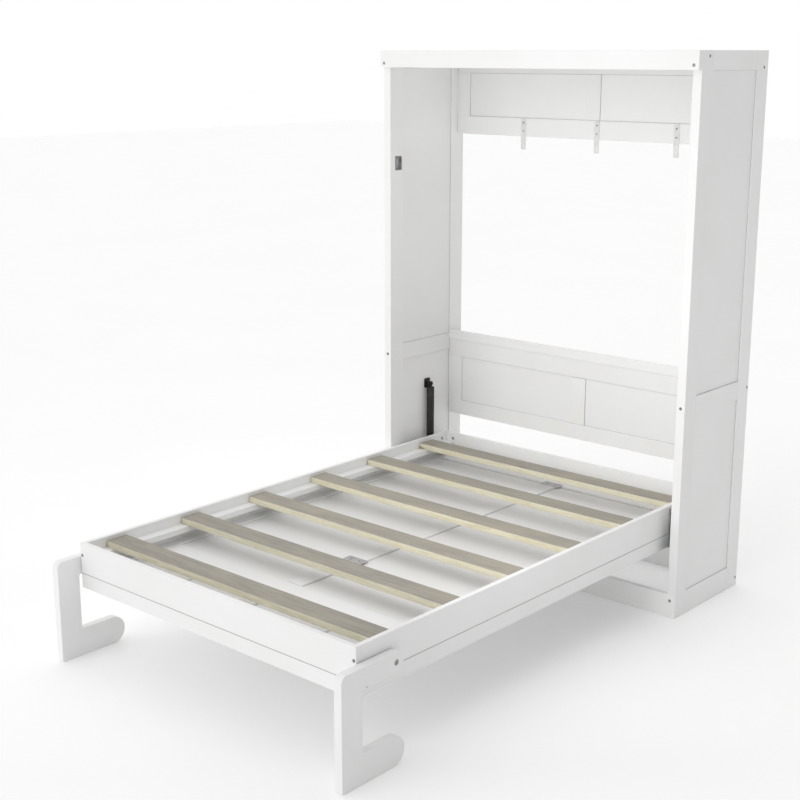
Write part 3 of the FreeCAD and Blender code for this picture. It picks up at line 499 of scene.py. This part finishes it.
def slatTimber():
    look = slatLook
    finish = Finish("SlatTimber")
    tone = finish.add("ShaderNodeAttribute", {"attribute_name": "slatTone"}, None, "Fac")
    x, y, z = finish.axes(finish.place)
    # the tone differs from slat to slat, so it also moves the grain along
    shifted = finish.add("ShaderNodeCombineXYZ", None, {0: x + tone * 7, 1: y, 2: z})
    slow = finish.add("ShaderNodeMapping", None, {"Vector": shifted, "Scale": (0.9, 14, 14)})
    fine = finish.add("ShaderNodeMapping", None, {"Vector": shifted, "Scale": (2.2, 60, 60)})
    knotPlace = finish.add("ShaderNodeMapping", None, {"Vector": shifted, "Scale": (3.1, 12, 12)})
    cell = finish.add("ShaderNodeTexVoronoi", None, {"Vector": knotPlace, "Scale": 1.0, "Randomness": 1.0},
                      "Distance")
    cellTone = finish.axes(finish.other("Color"))[0]
    knotted = finish.span(cellTone, look["knotsFrom"], look["knotsFrom"] + 0.04)
    knot = finish.span(cell, 0.05, 0.17, (1, 0)) * knotted
    warp = finish.span(cell, 0.0, 0.5, (1, 0)) * knotted
    rings = finish.noise(slow, look["ringScale"], 5, 0.6, 1.6) * look["ringCount"]
    band = finish.add("ShaderNodeMath", {"operation": "PINGPONG"}, {0: rings + warp * 2.2, 1: 1.0})
    fibre = finish.noise(fine, look["fibreScale"], 4, 0.7, 0.2)
    cloud = finish.noise(finish.scaled((3, 10, 10)), look["cloudScale"], 3, 0.5)
    face = finish.mix(finish.span(band, 0.1, 0.95) * 0.45, rgba(look["face"]), rgba(look["faceDark"]))
    face = finish.mix(finish.span(cloud, 0.4, 0.68) * 0.4, face, rgba(look["faceWarm"]))
    edge = finish.mix(finish.span(band, 0.15, 0.9) * 0.5, rgba(look["edge"]), rgba(look["edgeDark"]))
    # colour chosen by facing: painted shade on the up-facing tops and painted light on the sides; the ends
    # keep their own darker end-grain colour
    turn = finish.axes(finish.facing)
    topShade = finish.span(abs(turn[2]), 0.55, 0.85)
    endward = finish.span(abs(turn[0]), 0.6, 0.9)
    colour = finish.mix(topShade, edge, face)
    colour = finish.mix(endward, colour, rgba(look["end"]))
    colour = finish.mix(finish.span(fibre, 0.5, 0.78) * 0.35, colour, rgba(look["faceDark"]))
    colour = finish.mix(knot * 0.8, colour, rgba(look["knot"]))
    lift = 0.9 + tone * 0.22
    tint = finish.add("ShaderNodeCombineColor", None,
                      {0: lift, 1: lift - tone * 0.012, 2: lift - tone * 0.05})
    colour = finish.mix(1.0, colour, tint, "MULTIPLY")
    rough = look["roughness"] + (fibre - 0.5) * 0.25 - knot * 0.2
    height = fibre * 0.6 + band * 0.25 + knot * 0.4
    return finish.close({"Base Color": colour, "Roughness": rough, "IOR": 1.5, "Specular IOR Level": 0.3,
                         "Normal": finish.bump(height, look["grainDepth"], strength=0.8)})


slatGrowth = Growth("GrowSlats", [("Length", "Float"), ("Width", "Float"), ("Thickness", "Float"),
                                  ("Round", "Float"), ("Count", "Int"), ("Pitch", "Float"),
                                  ("First", "Vector"), ("Sag", "Float"), ("Seed", "Int"),
                                  ("Finish", "Material")])


def wireSlats():
    g = slatGrowth
    outline = g.add("GeometryNodeCurvePrimitiveQuadrilateral", {"mode": "RECTANGLE"},
                    {"Width": g.given("Width"), "Height": g.given("Thickness")})
    outline = g.add("GeometryNodeFilletCurve", {"mode": "POLY"},
                    {"Curve": outline, "Count": 4, "Radius": g.given("Round")})
    away = g.add("ShaderNodeCombineXYZ", None, {0: g.given("Length") * 0.5})
    home = g.add("ShaderNodeCombineXYZ", None, {0: g.given("Length") * -0.5})
    path = g.add("GeometryNodeCurvePrimitiveLine", None, {"Start": home, "End": away})
    path = g.add("GeometryNodeResampleCurve", None, {"Curve": path, "Count": 40})
    path = g.add("GeometryNodeSetCurveNormal", {"mode": "Z_UP"}, {"Curve": path})
    slat = g.add("GeometryNodeCurveToMesh", None, {"Curve": path, "Profile Curve": outline,
                                                   "Fill Caps": True})
    step = g.add("ShaderNodeCombineXYZ", None, {1: g.given("Pitch")})
    line = g.add("GeometryNodeMeshLine", {"mode": "OFFSET"},
                 {"Count": g.given("Count"), "Start Location": g.given("First"), "Offset": step})
    row = g.add("GeometryNodeInstanceOnPoints", None, {"Points": line, "Instance": slat})
    index = g.add("GeometryNodeInputIndex")
    tone = g.add("FunctionNodeRandomValue", {"data_type": "FLOAT"},
                 {"Min": 0.0, "Max": 1.0, "ID": index, "Seed": g.given("Seed")}, 1)
    row = g.add("GeometryNodeStoreNamedAttribute", {"data_type": "FLOAT", "domain": "INSTANCE"},
                {"Geometry": row, "Name": "slatTone", "Value": tone})
    real = g.add("GeometryNodeRealizeInstances", None, {0: row})
    place = g.add("GeometryNodeInputPosition")
    x = g.axes(place)[0]
    share = x / (g.given("Length") * 0.5)
    drop = (share * share - 1) * g.given("Sag") * (0.4 + g.named("slatTone", "FLOAT"))
    shift = g.add("ShaderNodeCombineXYZ", None, {2: drop})
    sagged = g.add("GeometryNodeSetPosition", None, {"Geometry": real, "Offset": shift})
    g.close(sagged, g.given("Finish"))


wireSlats()
slatNames = sorted(name for name in nodes if name.startswith("slat_") and name[5:].isdigit())
firstLow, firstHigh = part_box(slatNames[0])
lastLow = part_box(slatNames[-1])[0]
slatRow = {
    "Length": firstHigh.x - firstLow.x, "Width": firstHigh.y - firstLow.y,
    "Thickness": firstHigh.z - firstLow.z, "Round": slatLook["round"], "Count": len(slatNames),
    "Pitch": (lastLow.y - firstLow.y) / (len(slatNames) - 1), "First": (firstLow + firstHigh) / 2,
    "Sag": slatLook["sag"], "Seed": slatLook["seed"], "Finish": slatTimber(),
}
slats = slatGrowth.grow("bare_slats", slatRow)
smoothed(slats.data)
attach(slats, "deck")
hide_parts(*slatNames)
print("slats grown,", len(slatNames))


# metals: a clean tone, a dull one in patches, and how shiny it is
metalGrain = {"patchScale": 55, "brushScale": 900, "pitScale": 1500, "brushDepth": 0.00004,
              "pitDepth": 0.00003}
metalLook = {
    "zinc": {"colour": (0.36, 0.365, 0.38), "dull": (0.22, 0.22, 0.23), "metallic": 0.7, "rough": 0.36},
    "black": {"colour": (0.012, 0.012, 0.0135), "dull": (0.026, 0.026, 0.028), "metallic": 0.1,
              "rough": 0.36},
    "grey": {"colour": (0.40, 0.41, 0.42), "dull": (0.30, 0.305, 0.31), "metallic": 0.4, "rough": 0.48},
    "plate": {"colour": (0.55, 0.55, 0.56), "dull": (0.44, 0.44, 0.45), "metallic": 0.45, "rough": 0.42},
    "chrome": {"colour": (0.74, 0.75, 0.77), "dull": (0.6, 0.6, 0.62), "metallic": 1.0, "rough": 0.12},
    "white": {"colour": (0.80, 0.80, 0.80), "dull": (0.72, 0.715, 0.70), "metallic": 0.0, "rough": 0.4},
}


def metal(kind, name, along=(1, 1, 1)):
    look = metalLook[kind]
    finish = Finish(name)
    patches = finish.noise(finish.place, metalGrain["patchScale"], 4, 0.6)
    brushed = finish.noise(finish.scaled(along), metalGrain["brushScale"], 3, 0.6)
    pits = finish.noise(finish.place, metalGrain["pitScale"], 2, 0.5)
    colour = finish.mix(finish.span(patches, 0.42, 0.7), rgba(look["colour"]), rgba(look["dull"]))
    colour = finish.mix(finish.span(pits, 0.62, 0.74) * 0.3, colour, rgba(look["dull"], 0.8))
    rough = look["rough"] + (patches - 0.5) * 0.22 + (brushed - 0.5) * 0.12
    normal = finish.bump(brushed, metalGrain["brushDepth"], strength=0.5)
    normal = finish.bump(pits, metalGrain["pitDepth"], normal, 0.5)
    return finish.close({"Base Color": colour, "Roughness": rough, "Metallic": look["metallic"],
                         "Normal": normal})


zinc = metal("zinc", "ZincPlate")
camZinc = metal("grey", "CamZinc")
blackPaint = metal("black", "BlackSatin", (1, 1, 0.05))
greySteel = metal("grey", "GreySteel", (1, 1, 0.1))
platedSteel = metal("plate", "PlatedSteel", (1, 0.1, 1))
chrome = metal("chrome", "PolishedRod", (1, 1, 0.2))
whiteSteel = metal("white", "WhitePowderCoat")
dress("bed_pivot_plates", greySteel)
dress("cabinet_pivot_plates", greySteel)
dress("strut_deck_brackets", blackPaint)


# bolts, cams and screws, in millimetres
fastenerLook = {
    "bolt": {"radius": 6.5, "height": 3.5, "ease": 0.6, "socket": 2.5, "depth": 2.1, "sides": 6,
             "shank": 3.0, "long": 30},
    "legBolt": {"radius": 10, "height": 2.9, "ease": 0.8, "socket": 3.2, "depth": 1.6, "sides": 6,
                "shank": 5.0, "long": 40},
    "screw": {"radius": 4, "height": 1.6, "ease": 0.9, "socket": 1.5, "depth": 1.0, "sides": 4,
              "shank": 2.0, "long": 10},
    "cam": {"radius": 7.5, "height": 9, "ease": 0.5, "socket": 3.0, "depth": 2.6, "sides": 4,
            "shank": 5.0, "long": 2},
}


def headMesh(kind):
    # a head with its top at z = 0, a driver socket and a shank below it
    look = fastenerLook[kind]
    radius, height, ease = look["radius"] * mm, look["height"] * mm, look["ease"] * mm
    socket, depth, shank = look["socket"] * mm, look["depth"] * mm, look["shank"] * mm
    across = socket / math.cos(math.pi / look["sides"])
    profile = [(0.0002, -depth - 0.15 * socket), (socket * 0.96, -depth), (socket, -0.00015),
               (across + 0.0004, 0.0), (radius - ease, 0.0), (radius - ease * 0.35, -ease * 0.22),
               (radius, -ease), (radius, -height + 0.0002), (radius - 0.0002, -height),
               (shank, -height), (shank, -height - look["long"] * mm)]
    return turned(kind + "Head", profile, 24, {1: look["sides"], 2: look["sides"]})


widestOf = {"bolt": 6.5, "legBolt": 11, "screw": 4, "cam": 7.5}  # radius by which a kind is told
spinStep = 47  # degrees from one fastener's socket to the next


def spotsOf(node):
    # (kind, head's top, way it faces) of each fastener in a CAD node
    found = []
    for points in solidsOf(node):
        low, high = boxOf(points)
        size = high - low
        odd = max(range(3), key=lambda k: min(abs(size[k] - size[j]) for j in range(3) if j != k))
        others = [k for k in range(3) if k != odd]
        middle = (low + high) / 2
        reach = [math.hypot(*(point[k] - middle[k] for k in others)) for point in points]
        widest = max(reach)
        ends = [point[odd] for point, r in zip(points, reach) if r > widest * 0.8]
        side = 1 if sum(ends) / len(ends) > middle[odd] else -1
        kind = min(widestOf, key=lambda word: abs(widestOf[word] * mm - widest))
        if kind == "cam":
            side = -1 if middle[odd] > 0 or odd == 1 else 1
        if kind == "legBolt":
            side = 1 if middle[odd] > 0 else -1
        facing = [0, 0, 0]
        facing[odd] = side
        top = middle.copy()
        top[odd] = high[odd] if side > 0 else low[odd]
        found.append((kind, tuple(top), tuple(facing)))
    return found


def fasten(node, bodyName, prefix):
    spots = spotsOf(node)
    for kind in sorted({kind for kind, top, facing in spots}):
        rows = [(top, facing, (index * spinStep) % 90)
                for index, (sort, top, facing) in enumerate(spots) if sort == kind]
        metalUsed = camZinc if kind == "cam" else zinc
        piece = scattered(prefix + "_" + kind, headMesh(kind), rows, metalUsed, bodyName)
        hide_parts(node)
        print(piece.name, len(rows))


fasten("cabinet_fasteners", "cabinet", "cabinet")
fasten("bed_fasteners", "deck", "deck")


# washers between the legs and the side rails, in millimetres
washerLook = {"hole": 5.2, "radius": 11, "ease": 0.4, "thickness": 2.6, "clearance": 0.2}


def washerMesh():
    hole, radius, ease, thick = [washerLook[word] for word in ("hole", "radius", "ease", "thickness")]
    ring = [(hole, 0), (radius - ease, 0), (radius, ease), (radius, thick - ease), (radius - ease, thick),
            (hole, thick)]
    return turnedRing("Washer", [(r * mm, h * mm) for r, h in ring])


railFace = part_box("right_side_rail")[1].x + washerLook["clearance"] * mm
washers = [((math.copysign(railFace, facing[0]), top[1], top[2]), facing, 0)
           for kind, top, facing in spotsOf("bed_fasteners") if kind == "legBolt"]
spacers = scattered("leg_washers", washerMesh(), washers, zinc, "deck")


# wall straps, in millimetres
strapLook = {"corner": 4, "ease": 0.35, "holes": 2.6, "lowestHole": 17}


def strapMesh():
    low, high = boxOf(solidsOf("wall_straps")[0])
    width, height, thick = high.x - low.x, high.z - low.z, high.y - low.y
    middle = (low.z + high.z) / 2
    heights = [spot[1][2] for spot in spotsOf("cabinet_fasteners") if spot[0] == "screw"]
    outlines = [roundedOutline(width, height, strapLook["corner"] * mm)]
    for level in (low.z + strapLook["lowestHole"] * mm, min(heights), max(heights)):
        outlines.append(circleOutline(strapLook["holes"] * mm, (0, level - middle)))
    return plate("Strap", outlines, thick, strapLook["ease"] * mm)


strapSpots = []
for points in solidsOf("wall_straps"):
    low, high = boxOf(points)
    strapSpots.append((((low.x + high.x) / 2, high.y, (low.z + high.z) / 2), (0, -1, 0), 0))
straps = scattered("steel_wall_straps", strapMesh(), strapSpots, whiteSteel, "cabinet")
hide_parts("wall_straps")
print("straps made,", len(strapSpots))


# joining plates of the underside, in millimetres
joinLook = {"thickness": 2, "corner": 3, "ease": 0.3, "screwStep": 22, "screwTop": 3.6, "screwTurn": 20}
joinSpots = []
for points in solidsOf("joining_plates"):
    low, high = boxOf(points)
    joinSpots.append(((0, (low.y + high.y) / 2, low.z), (0, 0, 1), 0))
low, high = boxOf(solidsOf("joining_plates")[0])
joinPlate = plate("JoinPlate", [roundedOutline(high.x - low.x, high.y - low.y, joinLook["corner"] * mm)],
                  joinLook["thickness"] * mm, joinLook["ease"] * mm)
joins = scattered("joining_plate_sheets", joinPlate, joinSpots, platedSteel, "deck")
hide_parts("joining_plates")
screwSpots = [((side * joinLook["screwStep"] * mm, place[1], place[2] + joinLook["screwTop"] * mm),
               (0, 0, 1), joinLook["screwTurn"] * side)
              for place, facing, spin in joinSpots for side in (-1, 1)]
joinScrews = scattered("joining_plate_screws", headMesh("screw"), screwSpots, camZinc, "deck")
print("joining plates made,", len(joinSpots))


# gas struts, in millimetres
strutLook = {"crimp": 1.2, "groove": 0.7, "neck": 6.6, "neckLength": 8, "shoulder": 16, "bore": 5.3,
             "rod": 5.0, "eyeRadius": 11, "eyeHole": 4.06, "eyeWidth": 14, "eyeEase": 1.0}


def eye(name):
    outer, hole, width, ease = [strutLook[word] for word in ("eyeRadius", "eyeHole", "eyeWidth", "eyeEase")]
    profile = [(hole, -width / 2 + 0.3), (hole + 0.6, -width / 2), (outer - ease, -width / 2),
               (outer, -width / 2 + ease), (outer, width / 2 - ease), (outer - ease, width / 2),
               (hole + 0.6, width / 2), (hole, width / 2 - 0.3)]
    ring = turnedRing(name, [(r * mm, h * mm) for r, h in profile], 36)
    ring.transform(Matrix.Rotation(math.radians(90), 4, "Y"))
    return ring


def strut(side):
    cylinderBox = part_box(side + "_strut_cylinder")
    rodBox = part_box(side + "_strut_rod")
    x = (cylinderBox[0].x + cylinderBox[1].x) / 2
    y = (cylinderBox[0].y + cylinderBox[1].y) / 2
    radius = (cylinderBox[1].y - cylinderBox[0].y) / 2 / mm
    eyeHigh = cylinderBox[1].z - strutLook["eyeRadius"] * mm
    eyeLow = rodBox[0].z + strutLook["eyeRadius"] * mm
    base, top = cylinderBox[0].z, eyeHigh - strutLook["shoulder"] * mm
    long = (top - base) / mm
    crimp, groove, neck, bore = [strutLook[word] for word in ("crimp", "groove", "neck", "bore")]
    profile = [(bore, 6), (bore, 0.4), (bore + 0.5, 0), (radius - 5, 0), (radius - 2.4, 0.8),
               (radius - crimp, 3), (radius - crimp, 9), (radius - crimp - groove, 10),
               (radius - crimp - groove, 12), (radius - crimp, 13), (radius, 16), (radius, long - 14),
               (radius - groove, long - 12.5), (radius - groove, long - 11), (radius, long - 9.5),
               (radius, long - 3), (radius - 0.8, long - 1), (radius - 3, long), (neck, long),
               (neck, long + strutLook["neckLength"])]
    tube = turned(side + "Tube", [(r * mm, h * mm) for r, h in profile], 48)
    tube.transform(Matrix.Translation((x, y, base)))
    head = eye(side + "Eye")
    head.transform(Matrix.Translation((x, y, eyeHigh)))
    shell = newPiece(side + "_strut_tube", smoothed(joined(side + "StrutTube", [tube, head]), 30))
    shell.data.materials.append(blackPaint)
    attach(shell, side + "_cylinder_body")
    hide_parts(side + "_strut_cylinder")
    rodLong = (rodBox[1].z - eyeLow) / mm
    thin, wide = strutLook["rod"], radius - 2.6  # the rod, and the piston on its end
    rod = [(thin - 0.6, 8), (thin, 9.5), (thin, rodLong - 10), (wide - 0.3, rodLong - 9.6),
           (wide, rodLong - 9), (wide, rodLong - 0.8), (wide - 0.4, rodLong)]
    shaft = turned(side + "Shaft", [(r * mm, h * mm) for r, h in rod], 32)
    shaft.transform(Matrix.Translation((x, y, eyeLow)))
    foot = eye(side + "Foot")
    foot.transform(Matrix.Translation((x, y, eyeLow)))
    inside = newPiece(side + "_strut_piston_rod", smoothed(joined(side + "StrutRod", [shaft, foot]), 30))
    inside.data.materials.append(chrome)
    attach(inside, side + "_rod_body")
    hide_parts(side + "_strut_rod")
    return x, y, eyeHigh


strutHeads = {side: strut(side) for side in ("left", "right")}
bracketLook = {"width": 40, "height": 46, "thickness": 4, "corner": 7, "ease": 0.5, "screwInset": 7,
               "screwTop": 5.6, "screwTurn": 15, "collar": 8, "stud": 4, "clip": 6.8}


def strutBrackets():
    # a stamped plate, a shouldered stud and a spring clip on each side
    parts = []
    screwRows = []
    for points in solidsOf("strut_cabinet_brackets"):
        low, high = boxOf(points)
        side = 1 if low.x > 0 else -1
        x, y, z = strutHeads["right" if side > 0 else "left"]
        wall = high.x if side > 0 else low.x
        height, width = bracketLook["height"] * mm, bracketLook["width"] * mm
        sheet = plate("BracketSheet", [roundedOutline(width, height, bracketLook["corner"] * mm)],
                      bracketLook["thickness"] * mm, bracketLook["ease"] * mm)
        turnIn = Vector((-side, 0, 0)).to_track_quat("Z", "Y").to_matrix().to_4x4()
        sheet.transform(Matrix.Translation((wall, y, z)) @ turnIn)
        gap = abs(wall - x) / mm
        collar, thin, clip = [bracketLook[word] for word in ("collar", "stud", "clip")]
        stud = [(collar, 0.5), (collar, gap - 8.2), (collar - 0.6, gap - 7.5), (thin, gap - 7.5),
                (thin, gap + 7.4), (clip, gap + 7.5), (clip, gap + 9.9), (clip - 0.6, gap + 10.5)]
        pin = turned("StrutStud", [(r * mm, h * mm) for r, h in stud], 32)
        pin.transform(Matrix.Translation((wall, y, z)) @ turnIn)
        parts += [sheet, pin]
        inset = bracketLook["screwInset"] * mm
        for stepY in (-1, 1):
            for stepZ in (-1, 1):
                spot = (wall - side * bracketLook["screwTop"] * mm, y + stepY * (width / 2 - inset),
                        z + stepZ * (height / 2 - inset))
                screwRows.append((spot, (-side, 0, 0), bracketLook["screwTurn"] * stepY))
    plates = newPiece("strut_wall_brackets", smoothed(joined("StrutBrackets", parts)))
    plates.data.materials.append(blackPaint)
    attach(plates, "cabinet")
    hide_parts("strut_cabinet_brackets")
    heads = scattered("strut_bracket_screws", headMesh("screw"), screwRows, blackPaint, "cabinet")


strutBrackets()
print("struts and brackets made")


# catch in the left side, in millimetres
catchLook = {"corner": 9, "wall": 3, "ease": 0.5, "tongue": 16, "tongueThick": 6, "tongueCorner": 3,
             "tongueEase": 0.8, "tongueShift": 4, "floorEase": 0.2}


def catchCup():
    low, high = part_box("catch_plate")
    depth, wide, tall = high.x - low.x, high.y - low.y, high.z - low.z
    wall = catchLook["wall"] * mm
    corner = catchLook["corner"] * mm
    face = roundedOutline(wide, tall, corner)
    hollow = roundedOutline(wide - 2 * wall, tall - 2 * wall, corner - wall * 0.7)
    rim = plate("CatchRim", [face, hollow], depth, catchLook["ease"] * mm)
    inset = catchLook["floorEase"] * mm
    floor = plate("CatchFloor", [roundedOutline(wide - 2 * inset, tall - 2 * inset, corner)], wall, inset)
    outline = roundedOutline(catchLook["tongue"] * mm, tall * 0.5, catchLook["tongueCorner"] * mm)
    tongue = plate("CatchTongue", [outline], catchLook["tongueThick"] * mm, catchLook["tongueEase"] * mm)
    shift = catchLook["tongueShift"] * mm
    tongue.transform(Matrix.Translation((-shift, shift, wall * 0.9)))
    inward = Vector((1, 0, 0)).to_track_quat("Z", "Y").to_matrix().to_4x4()
    whole = joined("CatchCup", [rim, floor, tongue])
    whole.transform(Matrix.Translation((low.x, (low.y + high.y) / 2, (low.z + high.z) / 2)) @ inward)
    cup = newPiece("catch_cup", smoothed(whole))
    cup.data.materials.append(greySteel)
    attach(cup, "cabinet")
    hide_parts("catch_plate")


catchCup()
print("catch made")


# floor, light and camera, in metres
stageLook = {
    "floor": (0.985, 0.985, 0.985), "haze": 0.8, "glow": 0.1, "reach": 60, "drop": 0.0005,
    "sky": 1.0, "shadeSide": 0.62, "sun": 0.32, "sunTurn": (66, 0, -18), "sunAngle": 50,
    "fill": 4.5, "fillSize": (1.1, 1.1),
    "fillFrom": (0.74, -1.8, 1.35), "fillAt": (-0.7, -0.3, 0.9),
    "camera": (3.463, -5.195, 2.239), "yaw": 0.727, "pitch": 0.245, "lens": 62.43,
}


def setStage():
    look = stageLook
    work = bmesh.new()
    bmesh.ops.create_grid(work, x_segments=2, y_segments=2, size=look["reach"] / 2)
    mesh = bpy.data.meshes.new("Floor")
    work.to_mesh(mesh)
    work.free()
    floor = newPiece("studio_floor", mesh)
    floor.location.z = -look["drop"]
    finish = Finish("StudioFloor")
    haze = finish.noise(finish.place, look["haze"], 2, 0.5)
    tone = finish.mix(finish.span(haze, 0.3, 0.7), rgba(look["floor"]), rgba(look["floor"], 0.985))
    floor.data.materials.append(finish.close({
        "Base Color": tone, "Roughness": 0.75 + haze * 0.1,
        "Emission Color": (1, 1, 1, 1), "Emission Strength": look["glow"]}))
    world = bpy.data.worlds.new("StudioSky")
    bpy.context.scene.world = world
    world.use_nodes = True
    dome = Wiring(world.node_tree)
    dome.tree.nodes.clear()
    direction = dome.add("ShaderNodeTexCoord", out="Generated")
    aside = dome.add("ShaderNodeMapRange", {"interpolation_type": "SMOOTHSTEP"},
                     {"Value": dome.axes(direction)[0], "From Min": 0.1, "From Max": 0.7})
    hidden = 1 - dome.add("ShaderNodeLightPath", out="Is Camera Ray")
    glow = dome.add("ShaderNodeBackground", None,
                    {"Color": (1, 1, 1, 1), "Strength": look["sky"] - aside * hidden * look["shadeSide"]})
    dome.add("ShaderNodeOutputWorld", None, {"Surface": glow})
    light = bpy.data.lights.new("SoftKey", "SUN")
    light.energy = look["sun"]
    light.angle = math.radians(look["sunAngle"])
    key = newPiece("SoftKey", light)
    key.rotation_euler = [math.radians(angle) for angle in look["sunTurn"]]
    box = bpy.data.lights.new("SoftFill", "AREA")
    box.energy = look["fill"]
    box.shape = "RECTANGLE"
    box.size, box.size_y = look["fillSize"]
    fill = newPiece("SoftFill", box)
    fill.location = look["fillFrom"]
    aim = Vector(look["fillAt"]) - Vector(look["fillFrom"])
    fill.rotation_euler = aim.to_track_quat("-Z", "Y").to_euler()
    fill.visible_camera = False
    camera = bpy.data.cameras.new("Camera")
    camera.lens = look["lens"]
    camera.sensor_width = 36
    eyePoint = newPiece("Camera", camera)
    eyePoint.location = look["camera"]
    eyePoint.rotation_euler = (math.pi / 2 - look["pitch"], 0, look["yaw"])
    bpy.context.scene.camera = eyePoint
    bpy.context.scene.view_settings.view_transform = "Standard"


setStage()
print("stage set")
